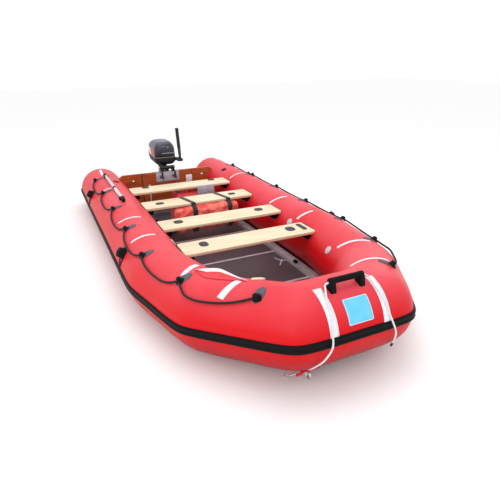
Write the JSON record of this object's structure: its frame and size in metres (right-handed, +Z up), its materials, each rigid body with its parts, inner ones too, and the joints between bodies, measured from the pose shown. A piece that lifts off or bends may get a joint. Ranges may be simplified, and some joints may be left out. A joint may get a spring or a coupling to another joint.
{
  "type": "inflatable motor boat",
  "caption": "Inflatable motor boat with a mitred bow, plank seats, a plywood transom and a tiller-steered outboard motor that tilts, steers and turns its propeller",
  "frame": {"origin": "on the waterline, on the centreline, amidships", "axes": "+X forward to the bow, +Y to port, +Z up"},
  "size_m": [4.3612, 1.9662, 1.341],
  "materials": {
    "tube_fabric": "satin coated fabric",
    "bottom_fabric": "satin coated fabric",
    "black_rubber": "matte",
    "floor_ply": "painted, non-slip",
    "aluminium": "anodised",
    "transom_ply": "varnished",
    "grey_plastic": "satin",
    "thwart_ply": "varnished",
    "patch_rubber": "matte",
    "black_rope": "woven",
    "white_rope": "woven",
    "valve_metal": "satin",
    "steel": "polished",
    "tank_plastic": "moulded",
    "bag_fabric": "coated",
    "pump_plastic": "moulded",
    "motor_casting": "satin paint",
    "cowl_paint": "gloss paint",
    "engine_metal": "bare",
    "grip_rubber": "matte",
    "propeller_metal": "satin paint"
  },
  "bodies": {
    "boat": {"side_tubes": "tube_fabric", "bow_tubes_after": "tube_fabric", "bow_tubes_fore": "tube_fabric", "bow_tube_nose": "tube_fabric", "stern_cones": "tube_fabric", "stern_caps": "black_rubber", "rubbing_strake": "black_rubber", "hull_bottom": "bottom_fabric", "keel_strip": "black_rubber", "floor_boards": "floor_ply", "floor_joiners": "aluminium", "stringers": "aluminium", "transom": "transom_ply", "transom_doubler": "transom_ply", "motor_pads": "grey_plastic", "thwarts": "thwart_ply", "thwart_brackets": "black_rubber", "lifeline_patches": "patch_rubber", "lifeline_starboard": "black_rope", "lifeline_port": "black_rope", "rowlocks": "black_rubber", "valves": "valve_metal", "bow_handle": "black_rubber", "bow_rope_starboard": "white_rope", "bow_rope_port": "white_rope", "tow_ring": "steel", "oar_shaft": "aluminium", "oar_clips": "black_rubber", "fuel_tank": "tank_plastic", "seat_bag": "bag_fabric", "foot_pump": "pump_plastic", "clamp_bracket": "motor_casting", "clamp_screws": "steel"},
    "swivel": {"swivel_bracket": "motor_casting"},
    "motor": {"steering_shaft": "steel", "lower_pan": "motor_casting", "cowl_cover": "cowl_paint", "engine_block": "engine_metal", "midsection": "motor_casting", "gearcase": "motor_casting", "tiller_bracket": "motor_casting"},
    "tiller": {"tiller_arm": "motor_casting", "tiller_grip": "grip_rubber"},
    "screw": {"propeller": "propeller_metal"}
  },
  "joints": [
    {"name": "motor_tilt", "type": "hinge", "parent": "boat", "child": "swivel", "pos_m": [-1.5, 0, 0.482], "axis": [0, 1, 0], "range_deg": [0, 65]},
    {"name": "motor_steer", "type": "hinge", "parent": "swivel", "child": "motor", "pos_m": [-1.632, 0, 0.35], "axis": [0, 0, 1], "range_deg": [-45, 45]},
    {"name": "tiller_fold", "type": "hinge", "parent": "motor", "child": "tiller", "pos_m": [-1.472, 0.165, 0.562], "axis": [0, 1, 0], "range_deg": [0, 88]},
    {"name": "propeller_spin", "type": "hinge", "parent": "motor", "child": "screw", "pos_m": [-1.88, 0, -0.246], "axis": [1, 0, 0], "continuous": true}
  ]
}
